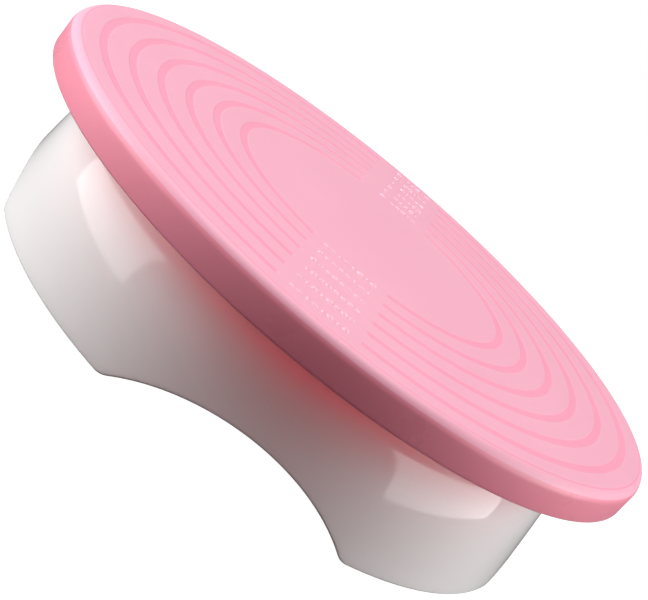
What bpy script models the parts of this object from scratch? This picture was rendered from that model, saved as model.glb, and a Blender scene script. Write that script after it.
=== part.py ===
"""Revolving cake stand: a flat pink plate with a short skirt that turns on a glossy white domed base.

The base is a thin-walled dome with four arches cut in its skirt, so it stands on four feet.
The plate runs on twelve caged steel balls between two raceways and is held by a central spindle.
Metres, +Z up, origin on the table under the middle of the base, front arch towards -Y.
"""
import math

import bmesh
import bpy
from mathutils import Matrix

for old in list(bpy.data.objects):
    bpy.data.objects.remove(old, do_unlink=True)

# ---------------------------------------------------------------- driving sizes
PLATE_R = 0.140          # plate radius (280 mm plate)
PLATE_TOP = 0.069        # height of the turning surface
PLATE_T = 0.003          # thickness of the plate's top
SKIRT_H = 0.0137         # height of the plate's skirt
SKIRT_T = 0.0025         # thickness of the plate's skirt
EDGE_R = 0.004           # rounding between the top and the skirt

RING_STEP = 0.0253       # guide rings step one inch in diameter
RING_FIRST_D = 0.1281    # diameter of the smallest guide ring
RING_COUNT = 6
RING_W = 0.0040
RING_DEPTH = 0.0003
STRIP_HALF = 0.018       # half width of the plain strip that breaks the rings
STRIP_TURN = math.radians(-5.2)

FOOT_Z = 0.001           # the base's feet stand on pads one millimetre proud
BASE_R = 0.1248          # outer radius at the feet
WALL_T = 0.003
DECK_Z = 0.050           # top of the base's flat deck
DECK_R = 0.080           # radius where the deck starts to curve down
DOME_POWER = 8.0         # squareness of the dome's shoulder
TAPER = 0.125            # the wall leans in by this much for each unit of height
FLANGE_IN_R = 0.1165     # inner radius of the turned-in foot flange
FLANGE_T = 0.004
FOOT_CHAMFER = 0.0008
BASE_RIB_LOW = 0.033     # lower edge of the ribs under the deck
BASE_RIB_T = 0.0018
BASE_RIB_COUNT = 8
PAD_IN = 0.1177          # rubber pads under the feet
PAD_OUT = 0.1221
PAD_HALF_TURN = 14.0
PAD_SEAT = 0.0018        # depth of the recess that holds a pad

ARCH_R = 0.0774          # radius of each arch
ARCH_DROP = 0.0590       # depth of the arch's centre below the foot plane
TOE_R = 0.008            # rounding of the foot corners

HUB_R = 0.0115
BORE_R = 0.0078
HUB_BOTTOM = 0.0286
BUSH_R = 0.0105          # radius of the bush's flange
BUSH_FLANGE_T = 0.0012
SPINDLE_R = 0.004
RUN_GAP = 0.00006        # running clearance of the spindle in its bush
PLATE_HUB_R = 0.0105
PLATE_HUB_LOW = 0.0570
SOCKET_DEPTH = 0.0022    # plastic left over the spindle's socket

BALL_R = 0.004
BALL_CIRCLE = 0.045
BALL_COUNT = 12
BALL_Z = 0.056
RACE_IN = 0.0365
RACE_OUT = 0.0615
RACE_T = 0.0027
RACE_OFF = 0.0030        # from the balls' centres to each raceway's face
CAGE_IN = 0.0370
CAGE_OUT = 0.0530
CAGE_HALF = 0.0014       # half the cage's thickness
SCREW_CIRCLE = 0.0560
HEAD_R = 0.0026
SHANK_R = 0.0014
HEAD_H = 0.0014
SCREW_LENGTH = 0.0075
BOSS_R = 0.0042
BOSS_LOW = 0.0410
PILOT_LOW = 0.0425
PLATE_RIB_H = 0.003
PLATE_RIB_T = 0.0016
PLATE_RIB_COUNT = 12
GAP = 0.0003             # rest gap between pieces that touch

BIG = 60                 # facets round the large turned pieces
MID = 36
SMALL = 12

# ---------------------------------------------------------------- collections
parts_collection = bpy.data.collections.new("cake_turntable")
bpy.context.scene.collection.children.link(parts_collection)
cutter_collection = bpy.data.collections.new("cutters")
bpy.context.scene.collection.children.link(cutter_collection)


def material(name, colour, roughness, metallic=0.0):
    """A Principled finish for one piece."""
    made = bpy.data.materials.new(name)
    made.use_nodes = True
    shader = made.node_tree.nodes["Principled BSDF"]
    shader.inputs["Base Color"].default_value = (*colour, 1.0)
    shader.inputs["Roughness"].default_value = roughness
    shader.inputs["Metallic"].default_value = metallic
    return made


PINK = (0.95, 0.50, 0.60)
WHITE = (0.86, 0.86, 0.87)
STEEL = (0.62, 0.63, 0.65)
NYLON = (0.80, 0.78, 0.70)
BLACK = (0.03, 0.03, 0.03)


def link(name, mesh, colour, roughness, metallic=0.0):
    """Put one named piece in the parts collection with its own finish."""
    piece = bpy.data.objects.new(name, mesh)
    parts_collection.objects.link(piece)
    mesh.materials.clear()
    mesh.materials.append(material(name, colour, roughness, metallic))
    return piece


def cutter(name, mesh):
    """Put one tool body among the cutters."""
    tool = bpy.data.objects.new(name, mesh)
    cutter_collection.objects.link(tool)
    tool.hide_render = True
    tool.display_type = "WIRE"
    return tool


def profile_mesh(name, points, closed):
    """A profile in the XZ plane, given as (radius, height) pairs."""
    mesh = bpy.data.meshes.new(name)
    edges = [(i, i + 1) for i in range(len(points) - 1)]
    if closed:
        edges.append((len(points) - 1, 0))
    mesh.from_pydata([(r, 0.0, z) for r, z in points], edges, [])
    return mesh


def spin(piece, steps):
    """Turn a profile a full circle about Z."""
    screw = piece.modifiers.new("turned", "SCREW")
    screw.axis = "Z"
    screw.angle = math.tau
    screw.steps = steps
    screw.render_steps = steps
    screw.use_merge_vertices = True
    screw.merge_threshold = 0.00001
    screw.use_normal_calculate = True


def turned(name, points, steps, closed, colour, roughness, metallic=0.0):
    """One turned piece, profile from top to bottom on its outer side."""
    piece = link(name, profile_mesh(name, points, closed), colour, roughness, metallic)
    spin(piece, steps)
    return piece


def boolean(piece, tool, operation):
    """Join a tool body to a piece, or cut it away."""
    step = piece.modifiers.new(tool.name, "BOOLEAN")
    step.operation = operation
    step.solver = "EXACT"
    step.object = tool


def slab(name, points, depth):
    """A closed flat slab: an outline in XY, thickened evenly about its plane."""
    curve = bpy.data.curves.new(name, "CURVE")
    curve.dimensions = "2D"
    curve.fill_mode = "BOTH"
    curve.extrude = depth / 2
    line = curve.splines.new("POLY")
    line.points.add(len(points) - 1)
    for slot, (x, y) in zip(line.points, points):
        slot.co = (x, y, 0.0, 1.0)
    line.use_cyclic_u = True
    holder = bpy.data.objects.new(name, curve)
    bpy.context.scene.collection.objects.link(holder)
    bpy.context.view_layer.update()
    mesh = bpy.data.meshes.new_from_object(holder)
    bpy.data.objects.remove(holder, do_unlink=True)
    work = bmesh.new()
    work.from_mesh(mesh)
    bmesh.ops.remove_doubles(work, verts=work.verts, dist=0.000001)
    bmesh.ops.recalc_face_normals(work, faces=work.faces)
    work.to_mesh(mesh)
    work.free()
    return mesh


def placed(name, mesh, matrices):
    """One mesh that holds a copy of another at each place."""
    work = bmesh.new()
    for matrix in matrices:
        before = len(work.verts)
        work.from_mesh(mesh)
        work.verts.ensure_lookup_table()
        fresh = work.verts[before:]
        bmesh.ops.transform(work, matrix=matrix, verts=fresh)
    made = bpy.data.meshes.new(name)
    work.to_mesh(made)
    work.free()
    return made


def around(count, start=0.0):
    """Turns about Z, evenly spaced."""
    return [Matrix.Rotation(start + math.tau * i / count, 4, "Z") for i in range(count)]


def cylinder(name, radius, low, high, segments, radius_top=None):
    """A closed cylinder or cone on the Z axis."""
    work = bmesh.new()
    top = radius if radius_top is None else radius_top
    place = Matrix.Translation((0.0, 0.0, (low + high) / 2))
    bmesh.ops.create_cone(work, cap_ends=True, segments=segments, radius1=radius,
                          radius2=top, depth=high - low, matrix=place)
    mesh = bpy.data.meshes.new(name)
    work.to_mesh(mesh)
    work.free()
    return mesh


def box(name, low, high):
    """A closed box between two corners."""
    work = bmesh.new()
    middle = [(a + b) / 2 for a, b in zip(low, high)]
    size = [b - a for a, b in zip(low, high)]
    place = Matrix.Translation(middle) @ Matrix.Diagonal((*size, 1.0))
    bmesh.ops.create_cube(work, size=1.0, matrix=place)
    mesh = bpy.data.meshes.new(name)
    work.to_mesh(mesh)
    work.free()
    return mesh


def arc(cx, cy, radius, start, end, count):
    """Points along an arc, angles in degrees."""
    turns = [math.radians(start + (end - start) * i / count) for i in range(count + 1)]
    return [(cx + radius * math.cos(t), cy + radius * math.sin(t)) for t in turns]


def dome(inset, first, last, count):
    """Points down the dome, inset from its outer face, from turn `last` to `first` in degrees."""
    points = []
    for i in range(count + 1):
        turn = math.radians(last + (first - last) * i / count)
        rise = (DECK_Z - FOOT_Z - inset) * max(math.sin(turn), 0.0) ** (2 / DOME_POWER)
        reach = BASE_R - DECK_R - inset - TAPER * rise
        reach *= max(math.cos(turn), 0.0) ** (2 / DOME_POWER)
        points.append((DECK_R + reach, FOOT_Z + rise))
    return points


# ---------------------------------------------------------------- base shell
base_profile = [(BORE_R, DECK_Z)]
base_profile += dome(0.0, 1.0, 90.0, 9)
base_profile += [(BASE_R, FOOT_Z + FOOT_CHAMFER), (BASE_R - FOOT_CHAMFER, FOOT_Z)]
base_profile += [(FLANGE_IN_R, FOOT_Z), (FLANGE_IN_R, FOOT_Z + FLANGE_T)]
base_profile += [(BASE_R - WALL_T - GAP, FOOT_Z + FLANGE_T)]
base_profile += list(reversed(dome(WALL_T, 8.0, 90.0, 5)))
base_profile += [(HUB_R, DECK_Z - WALL_T), (HUB_R, HUB_BOTTOM), (BORE_R, HUB_BOTTOM)]
base_shell = turned("base_shell", base_profile, BIG, True, WHITE, 0.12)

# eight ribs under the deck, from the hub tube into the dome wall
rib_wall = [p for p in dome(WALL_T / 2, 5.0, 90.0, 20) if p[1] > BASE_RIB_LOW]
rib_outline = [(HUB_R - WALL_T / 2, BASE_RIB_LOW), (rib_wall[-1][0], BASE_RIB_LOW)]
rib_outline += list(reversed(rib_wall))
rib_outline += [(HUB_R - WALL_T / 2, DECK_Z - WALL_T / 2)]
upright = Matrix.Rotation(math.pi / 2, 4, "X")
rib = slab("rib", rib_outline, BASE_RIB_T)
rib_turns = around(BASE_RIB_COUNT, math.pi / BASE_RIB_COUNT)
ribs = placed("base_ribs", rib, [turn @ upright for turn in rib_turns])
boolean(base_shell, cutter("base_ribs", ribs), "UNION")

# bosses for the four raceway screws
screw_places = [turn @ Matrix.Translation((SCREW_CIRCLE, 0.0, 0.0)) for turn in around(4, math.pi / 4)]
boss = cylinder("boss", BOSS_R, BOSS_LOW, DECK_Z - WALL_T / 2, SMALL)
boolean(base_shell, cutter("base_bosses", placed("base_bosses", boss, screw_places)), "UNION")
pilot = cylinder("pilot", SHANK_R + GAP, PILOT_LOW, DECK_Z + WALL_T, SMALL)
boolean(base_shell, cutter("base_pilots", placed("base_pilots", pilot, screw_places)), "DIFFERENCE")

# four arches with rounded foot corners
toe_x = math.sqrt((ARCH_R + TOE_R) ** 2 - (ARCH_DROP + TOE_R) ** 2)
toe_turn = math.degrees(math.atan2(ARCH_DROP + TOE_R, toe_x))
arch_outline = [(toe_x, -TOE_R)]
arch_outline += arc(toe_x, TOE_R, TOE_R, 270.0, 180.0 + toe_turn, 4)
arch_outline += arc(0.0, -ARCH_DROP, ARCH_R, toe_turn, 180.0 - toe_turn, 16)[1:-1]
arch_outline += arc(-toe_x, TOE_R, TOE_R, 360.0 - toe_turn, 270.0, 4)
arch_outline += [(-toe_x, -TOE_R)]
arch_depth = 2 * (BASE_R - DECK_R)
arch = slab("arch", arch_outline, arch_depth)
outward = Matrix.Translation((0.0, -DECK_R - arch_depth / 2, FOOT_Z)) @ upright
arches = placed("arches", arch, [turn @ outward for turn in around(4)])
boolean(base_shell, cutter("arches", arches), "DIFFERENCE")


def sector(inner, outer, half_turn, count):
    """The outline of part of a ring, centred on +X."""
    there = arc(0.0, 0.0, outer, -half_turn, half_turn, count)
    back = arc(0.0, 0.0, inner, half_turn, -half_turn, count)
    return there + back


# shallow recess in each foot, and the rubber pad that sits in it
spare_turn = math.degrees(GAP / PAD_IN)
recess_outline = sector(PAD_IN - GAP, PAD_OUT + GAP, PAD_HALF_TURN + spare_turn, 8)
recess = slab("recess", recess_outline, 2 * FLANGE_T)
seat_z = Matrix.Translation((0.0, 0.0, FOOT_Z + PAD_SEAT - FLANGE_T))
recesses = placed("pad_recesses", recess, [turn @ seat_z for turn in around(4, math.pi / 4)])
boolean(base_shell, cutter("pad_recesses", recesses), "DIFFERENCE")
pad_top = FOOT_Z + PAD_SEAT - GAP
for index, turn in enumerate(around(4, math.pi / 4), start=1):
    pad = slab("pad", sector(PAD_IN, PAD_OUT, PAD_HALF_TURN, 8), pad_top)
    pad.transform(turn @ Matrix.Translation((0.0, 0.0, pad_top / 2)))
    link("foot_pad_" + str(index), pad, BLACK, 0.85)

# ---------------------------------------------------------------- spindle bush
bush_top = DECK_Z + GAP + BUSH_FLANGE_T
bush_profile = [(SPINDLE_R + RUN_GAP, bush_top), (BUSH_R, bush_top), (BUSH_R, DECK_Z + GAP)]
bush_profile += [(BORE_R - GAP, DECK_Z + GAP), (BORE_R - GAP, HUB_BOTTOM)]
bush_profile += [(SPINDLE_R + RUN_GAP, HUB_BOTTOM)]
turned("spindle_bush", bush_profile, MID, True, NYLON, 0.45)

# ---------------------------------------------------------------- raceways
groove_r = BALL_R + GAP
lower_top = BALL_Z - RACE_OFF
upper_low = BALL_Z + RACE_OFF
lower_low = lower_top - RACE_T
upper_top = upper_low + RACE_T
groove_turn = math.degrees(math.asin(RACE_OFF / groove_r))

lower_profile = [(RACE_IN, lower_top)]
lower_profile += arc(BALL_CIRCLE, BALL_Z, groove_r, 180.0 + groove_turn, 360.0 - groove_turn, 4)
lower_profile += [(RACE_OUT, lower_top), (RACE_OUT, lower_low), (RACE_IN, lower_low)]
lower_race = turned("lower_race", lower_profile, MID, True, STEEL, 0.3, 1.0)

upper_profile = [(RACE_IN, upper_top), (RACE_OUT, upper_top), (RACE_OUT, upper_low)]
upper_profile += arc(BALL_CIRCLE, BALL_Z, groove_r, groove_turn, 180.0 - groove_turn, 4)
upper_profile += [(RACE_IN, upper_low)]
upper_race = turned("upper_race", upper_profile, MID, True, STEEL, 0.3, 1.0)

# countersunk holes for the raceway screws
hole = cylinder("race_hole", SHANK_R + GAP, -2 * RACE_T, 2 * RACE_T, SMALL)
lower_lift = Matrix.Translation((0.0, 0.0, lower_low))
lower_holes = placed("lower_race_holes", hole, [lower_lift @ place for place in screw_places])
boolean(lower_race, cutter("lower_race_holes", lower_holes), "DIFFERENCE")
upper_lift = Matrix.Translation((0.0, 0.0, upper_top))
upper_holes = placed("upper_race_holes", hole, [upper_lift @ place for place in screw_places])
boolean(upper_race, cutter("upper_race_holes", upper_holes), "DIFFERENCE")
sink = cylinder("sink", SHANK_R + GAP, lower_top - HEAD_H - GAP, lower_top + GAP, SMALL, HEAD_R + 2 * GAP)
lower_sinks = placed("lower_race_sinks", sink, screw_places)
boolean(lower_race, cutter("lower_race_sinks", lower_sinks), "DIFFERENCE")
flip = Matrix.Translation((0, 0, 2 * BALL_Z)) @ Matrix.Rotation(math.pi, 4, "X")
upper_sinks = placed("upper_race_sinks", lower_sinks, [flip])
boolean(upper_race, cutter("upper_race_sinks", upper_sinks), "DIFFERENCE")


def race_screw(name):
    """A countersunk screw whose head sits just under the lower raceway's top face."""
    top = lower_top - GAP / 3
    outline = [(0.0, top), (HEAD_R, top), (SHANK_R, top - HEAD_H)]
    outline += [(SHANK_R, top - SCREW_LENGTH), (0.0, top - SCREW_LENGTH - 0.001)]
    return profile_mesh(name, outline, False)


def cross(width, arm, low, high):
    """The two crossing slots of a driver recess."""
    bar_a = box("slot_a", (-arm, -width / 2, low), (arm, width / 2, high))
    bar_b = box("slot_b", (-width / 2, -arm, low), (width / 2, arm, high))
    return bar_a, bar_b


for index, place in enumerate(screw_places, start=1):
    lower = link("lower_screw_" + str(index), race_screw("lower_screw"), STEEL, 0.3, 1.0)
    spin(lower, SMALL)
    lower.matrix_world = place
    upper = link("upper_screw_" + str(index), race_screw("upper_screw"), STEEL, 0.3, 1.0)
    spin(upper, SMALL)
    upper.matrix_world = flip @ place
    for screw, turn_over in ((lower, Matrix.Identity(4)), (upper, flip)):
        for bar in cross(0.0008, 0.0017, lower_top - 0.0009, lower_top + 0.0005):
            bar.transform(turn_over @ place)
            boolean(screw, cutter(bar.name, bar), "DIFFERENCE")

# ---------------------------------------------------------------- balls and cage
cage_profile = [(CAGE_IN, BALL_Z + CAGE_HALF), (CAGE_OUT, BALL_Z + CAGE_HALF)]
cage_profile += [(CAGE_OUT, BALL_Z - CAGE_HALF), (CAGE_IN, BALL_Z - CAGE_HALF)]
ball_cage = turned("ball_cage", cage_profile, MID, True, NYLON, 0.45)
ball_places = [turn @ Matrix.Translation((BALL_CIRCLE, 0.0, 0.0)) for turn in around(BALL_COUNT)]
pocket = cylinder("pocket", BALL_R + GAP, BALL_Z - BALL_R, BALL_Z + BALL_R, SMALL)
boolean(ball_cage, cutter("pockets", placed("pockets", pocket, ball_places)), "DIFFERENCE")
for index, place in enumerate(ball_places, start=1):
    work = bmesh.new()
    centre = place @ Matrix.Translation((0.0, 0.0, BALL_Z))
    bmesh.ops.create_uvsphere(work, u_segments=12, v_segments=7, radius=BALL_R, matrix=centre)
    mesh = bpy.data.meshes.new("ball")
    work.to_mesh(mesh)
    work.free()
    link("ball_" + str(index).zfill(2), mesh, STEEL, 0.15, 1.0)

# ---------------------------------------------------------------- plate
under = PLATE_TOP - PLATE_T
skirt_low = PLATE_TOP - SKIRT_H
seat_low = upper_top + GAP
socket_top = PLATE_TOP - SOCKET_DEPTH
rib_low = under - PLATE_RIB_H
plate_profile = [(0.0, PLATE_TOP)]
plate_profile += arc(PLATE_R - EDGE_R, PLATE_TOP - EDGE_R, EDGE_R, 90.0, 0.0, 3)
plate_profile += [(PLATE_R, skirt_low + 2 * GAP), (PLATE_R - 2 * GAP, skirt_low)]
plate_profile += [(PLATE_R - SKIRT_T, skirt_low), (PLATE_R - SKIRT_T, under)]
plate_profile += [(RACE_OUT + WALL_T, under), (RACE_OUT + WALL_T, seat_low)]
plate_profile += [(RACE_IN - WALL_T, seat_low), (RACE_IN - WALL_T, under)]
plate_profile += [(PLATE_HUB_R, under), (PLATE_HUB_R, PLATE_HUB_LOW), (SPINDLE_R + GAP, PLATE_HUB_LOW)]
plate_profile += [(SPINDLE_R + GAP, socket_top), (0.0, socket_top)]
turntable_plate = turned("turntable_plate", plate_profile, BIG, False, PINK, 0.22)

# twelve ribs under the plate, from the raceway seat to the skirt
rib_outline = [(RACE_OUT, rib_low), (PLATE_R - SKIRT_T / 2, rib_low)]
rib_outline += [(PLATE_R - SKIRT_T / 2, under + PLATE_T / 2), (RACE_OUT, under + PLATE_T / 2)]
rib = slab("plate_rib", rib_outline, PLATE_RIB_T)
rib_turns = around(PLATE_RIB_COUNT, math.pi / PLATE_RIB_COUNT)
plate_ribs = placed("plate_ribs", rib, [turn @ upright for turn in rib_turns])
boolean(turntable_plate, cutter("plate_ribs", plate_ribs), "UNION")

# pilot holes for the upper raceway's screws
pilot = cylinder("plate_pilot", SHANK_R + GAP, seat_low - PLATE_T, PLATE_TOP - PLATE_T / 2, SMALL)
plate_pilots = placed("plate_pilots", pilot, screw_places)
boolean(turntable_plate, cutter("plate_pilots", plate_pilots), "DIFFERENCE")

# six guide rings, each broken by the plain strip across the plate
ring_tools = []
for index in range(RING_COUNT):
    middle = (RING_FIRST_D + index * RING_STEP) / 2
    outer = middle + RING_W / 2
    inner = middle - RING_W / 2
    outer_turn = 90.0 - math.degrees(math.asin(STRIP_HALF / outer))
    inner_turn = 90.0 - math.degrees(math.asin(STRIP_HALF / inner))
    outline = arc(0.0, 0.0, outer, -outer_turn, outer_turn, 18)
    outline += arc(0.0, 0.0, inner, inner_turn, -inner_turn, 18)
    ring_tools.append(slab("ring", outline, 2 * RING_DEPTH))
work = bmesh.new()
for half in (0.0, math.pi):
    place = Matrix.Translation((0.0, 0.0, PLATE_TOP)) @ Matrix.Rotation(STRIP_TURN + half, 4, "Z")
    for mesh in ring_tools:
        before = len(work.verts)
        work.from_mesh(mesh)
        work.verts.ensure_lookup_table()
        bmesh.ops.transform(work, matrix=place, verts=work.verts[before:])
guide_rings = bpy.data.meshes.new("guide_rings")
work.to_mesh(guide_rings)
work.free()
boolean(turntable_plate, cutter("guide_rings", guide_rings), "DIFFERENCE")

# ---------------------------------------------------------------- spindle and its retainer
spindle_low = HUB_BOTTOM - GAP
spindle_profile = [(0.0, socket_top - GAP), (SPINDLE_R - 0.0004, socket_top - GAP)]
spindle_profile += [(SPINDLE_R, socket_top - GAP - 0.0004), (SPINDLE_R, spindle_low)]
spindle_profile += [(0.0018, spindle_low), (0.0018, spindle_low + 0.010), (0.0, spindle_low + 0.011)]
turned("spindle", spindle_profile, MID, False, STEEL, 0.25, 1.0)

washer_top = spindle_low - GAP
washer_low = washer_top - 0.0012
washer_profile = [(0.0019, washer_top), (0.0090, washer_top), (0.0090, washer_low), (0.0019, washer_low)]
turned("retaining_washer", washer_profile, 24, True, STEEL, 0.3, 1.0)

head_top = washer_low - GAP
head_low = head_top - 0.0026
screw_profile = [(0.0, spindle_low + 0.0085), (0.0015, spindle_low + 0.0075), (0.0015, head_top)]
screw_profile += [(0.0036, head_top), (0.0036, head_top - 0.0012)]
screw_profile += [(0.0028, head_low + 0.0004), (0.0018, head_low), (0.0, head_low)]
retaining_screw = turned("retaining_screw", screw_profile, SMALL, False, STEEL, 0.3, 1.0)
for bar in cross(0.001, 0.0022, head_low - 0.001, head_low + 0.0012):
    boolean(retaining_screw, cutter(bar.name, bar), "DIFFERENCE")

# ---------------------------------------------------------------- bake and shade
bpy.context.view_layer.update()
graph = bpy.context.evaluated_depsgraph_get()
baked = []
for piece in parts_collection.objects:
    mesh = bpy.data.meshes.new_from_object(piece.evaluated_get(graph))
    mesh.transform(piece.matrix_world)
    baked.append((piece, mesh))
for piece, mesh in baked:
    finish = piece.data.materials[0]
    piece.modifiers.clear()
    piece.data = mesh
    piece.matrix_world = Matrix.Identity(4)
    work = bmesh.new()
    work.from_mesh(mesh)
    bmesh.ops.remove_doubles(work, verts=work.verts, dist=0.0000005)
    bmesh.ops.recalc_face_normals(work, faces=work.faces)
    work.to_mesh(mesh)
    work.free()
    mesh.materials.clear()
    mesh.materials.append(finish)
    mesh.shade_smooth()
    mesh.set_sharp_from_angle(angle=math.radians(32.0))
    mesh.name = piece.name
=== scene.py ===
# %% [markdown]
# # A revolving cake stand
# The stand is a pink plate that turns on a glossy white base. Everything here is built round a fixed
# frame: the engineering solids, which say how big each piece is and where it sits. This lesson gives
# every piece its fine surface and its finish, and never moves what the frame holds.

# %% Load the fixed frame
import math

import bmesh
import bpy
import numpy as np
from mathutils import Matrix, Vector


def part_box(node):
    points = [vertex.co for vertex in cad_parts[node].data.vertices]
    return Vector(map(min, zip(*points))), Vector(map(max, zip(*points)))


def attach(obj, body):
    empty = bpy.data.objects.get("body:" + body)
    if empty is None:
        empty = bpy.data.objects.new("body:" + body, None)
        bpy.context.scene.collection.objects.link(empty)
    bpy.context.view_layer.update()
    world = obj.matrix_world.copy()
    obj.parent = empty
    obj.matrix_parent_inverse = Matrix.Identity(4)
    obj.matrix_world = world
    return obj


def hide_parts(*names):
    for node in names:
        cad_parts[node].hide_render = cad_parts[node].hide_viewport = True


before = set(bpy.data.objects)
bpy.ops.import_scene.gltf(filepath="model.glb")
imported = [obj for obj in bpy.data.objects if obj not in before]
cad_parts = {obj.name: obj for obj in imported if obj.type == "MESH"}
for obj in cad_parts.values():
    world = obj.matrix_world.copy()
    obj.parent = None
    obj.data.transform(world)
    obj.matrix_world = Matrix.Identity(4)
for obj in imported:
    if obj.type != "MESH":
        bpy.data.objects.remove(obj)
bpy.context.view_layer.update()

# %% [markdown]
# ## Measure before making
# Sizes come from the frame wherever it can be asked. A node's box gives heights; its farthest vertex
# from the turning axis gives a radius. Only details that the frame leaves out are stated here.

# %% Sizes from the frame


def reach(node):
    """A node's greatest distance from the turning axis."""
    return max(math.hypot(v.co.x, v.co.y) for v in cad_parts[node].data.vertices)


PLATE_R = reach("turntable_plate")
PLATE_LOW, PLATE_TOP = (corner.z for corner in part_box("turntable_plate"))
BASE_R = reach("base_shell")
FOOT_Z, DECK_Z = (corner.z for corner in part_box("base_shell"))
RACE_OUT = reach("lower_race")
MM = 0.001
print(f"plate {2000 * PLATE_R:.1f} mm across, {1000 * PLATE_TOP:.1f} mm high")
print(f"base {2000 * BASE_R:.1f} mm across")

# %% [markdown]
# ## A skin from rings of points
# Both mouldings are nearly turned shapes, but the plate's rings stop at a plain strip and the base's
# rim rises over four arches. A Screw modifier can't do that and a Boolean leaves rough edges for a
# bevel to trip on. So each surface is laid out as rings of points, one under the other, and the rings
# are stitched with quads. Every edge then gets its own rounding, by formula.

# %% Stitch rings into a skin


def skin(name, rings, top_point=None, bottom_point=None):
    """A closed mesh from equal rings of points; open ends close to a point, else last meets first."""
    count = len(rings[0])
    points = [tuple(p) for ring in rings for p in ring]
    faces = []
    closed = top_point is None
    pairs = len(rings) if closed else len(rings) - 1
    for row in range(pairs):
        a = row * count
        b = ((row + 1) % len(rings)) * count
        for i in range(count):
            j = (i + 1) % count
            faces.append((a + i, b + i, b + j, a + j))
    if not closed:
        last = (len(rings) - 1) * count
        points += [tuple(top_point), tuple(bottom_point)]
        for i in range(count):
            j = (i + 1) % count
            faces.append((len(points) - 2, i, j))
            faces.append((len(points) - 1, last + j, last + i))
    mesh = bpy.data.meshes.new(name)
    mesh.from_pydata(points, [], faces)
    work = bmesh.new()
    work.from_mesh(mesh)
    bmesh.ops.recalc_face_normals(work, faces=work.faces)
    work.to_mesh(mesh)
    work.free()
    mesh.shade_smooth()
    return mesh


def piece(name, mesh, body, *nodes):
    """A named piece that rides on a body and stands for its CAD nodes."""
    made = bpy.data.objects.new(name, mesh)
    bpy.context.scene.collection.objects.link(made)
    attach(made, body)
    if nodes:
        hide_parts(*nodes)
    return made


print("skins and pieces ready")

# %% [markdown]
# The raceways, the cage, the pin, the bush and every screw were cut or moulded round one axis. Their
# outlines are short lists of radius and height, with arcs where the real ones are round.

# %% Turn an outline


def arc(cx, cy, radius, start, end, count):
    """Points along an arc, angles in degrees, both ends included."""
    turns = [math.radians(start + (end - start) * i / count) for i in range(count + 1)]
    return [(cx + radius * math.cos(t), cy + radius * math.sin(t)) for t in turns]


def turned(name, profile, steps=128, closed=True):
    """A turned mesh from (radius, height) pairs: closed is a ring, else both ends lie on the axis."""
    turns = [math.tau * i / steps for i in range(steps)]
    body = profile if closed else profile[1:-1]
    rings = [[(r * math.cos(t), r * math.sin(t), z) for t in turns] for r, z in body]
    if closed:
        return skin(name, rings)
    return skin(name, rings, (0, 0, profile[0][1]), (0, 0, profile[-1][1]))


print("arcs and turned parts ready")

# %% [markdown]
# Some pieces are cut after they're turned: raceways are drilled, the cage is pierced for its balls and
# screw heads take a cross recess. Others are copied round the axis, as a dividing head would do it.

# %% Cut and repeat
CRISP = math.radians(40.0)


def bake(made):
    """Apply a piece's modifiers and keep its crisp edges crisp."""
    graph = bpy.context.evaluated_depsgraph_get()
    mesh = bpy.data.meshes.new_from_object(made.evaluated_get(graph))
    made.modifiers.clear()
    made.data = mesh
    mesh.shade_smooth()
    mesh.set_sharp_from_angle(angle=CRISP)


def combine(made, tool, operation):
    """Join a tool mesh to a piece or cut it away, then drop the tool."""
    helper = bpy.data.objects.new(made.name + ".tool", tool)
    bpy.context.scene.collection.objects.link(helper)
    step = made.modifiers.new("join", "BOOLEAN")
    step.operation = operation
    step.object = helper
    bpy.context.view_layer.update()
    bake(made)
    bpy.data.objects.remove(helper, do_unlink=True)


def copies(mesh, matrices):
    """One mesh holding a copy of another at each place."""
    work = bmesh.new()
    for matrix in matrices:
        before = len(work.verts)
        work.from_mesh(mesh)
        work.verts.ensure_lookup_table()
        bmesh.ops.transform(work, matrix=matrix, verts=work.verts[before:])
    made = bpy.data.meshes.new(mesh.name)
    work.to_mesh(made)
    work.free()
    return made


def around(count, start=0.0):
    """Evenly spaced turns about the axis."""
    return [Matrix.Rotation(start + math.tau * i / count, 4, "Z") for i in range(count)]


print("cuts and copies ready")

# %% [markdown]
# ## The plate
# A decorator's plate is one thin moulding: a flat top, a rolled edge and a short skirt that stiffens
# it. Six shallow bands mark cake sizes an inch apart, and all of them stop at a plain strip that runs
# straight across. The columns of points bend towards the strip's two edges, so each band can end in
# a clean wall there.

# %% Columns of the plate
RING_FIRST = 128.1 * MM / 2
RING_STEP = 25.3 * MM / 2
RING_COUNT = 6
BAND_W = 4.0 * MM
BAND_DEPTH = 0.14 * MM
BAND_WALL = 0.50 * MM
STRIP_NEAR = 16.7 * MM
STRIP_FAR = 18.0 * MM
STRIP_TURN = math.radians(-5.2)
SIDE_COLUMNS = 150
STRIP_COLUMNS = 14
INNER_R = 50.0 * MM


def columns(radius):
    """Directions of the plate's columns at a radius, crowded at the strip's edges."""
    used = max(radius, INNER_R)
    near = [math.asin((STRIP_NEAR + BAND_WALL * k / 2) / used) for k in range(3)]
    far = [math.pi - math.asin((STRIP_FAR + BAND_WALL * k / 2) / used) for k in range(3)]
    right = near[:2] + list(np.linspace(near[2], far[2], SIDE_COLUMNS)) + far[1::-1]
    left = [math.tau - t for t in reversed(right)]
    steps = [2 * k / STRIP_COLUMNS - 1 for k in range(1, STRIP_COLUMNS)]
    back = [math.pi + math.asin(STRIP_FAR * step / used) for step in steps]
    return right + back + left + [math.asin(STRIP_NEAR * step / used) for step in steps]


def plate_point(turn, radius, height):
    """A point of the plate: turn 0 looks at the viewer along the strip."""
    return (radius * math.sin(turn + STRIP_TURN), -radius * math.cos(turn + STRIP_TURN), height)


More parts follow.
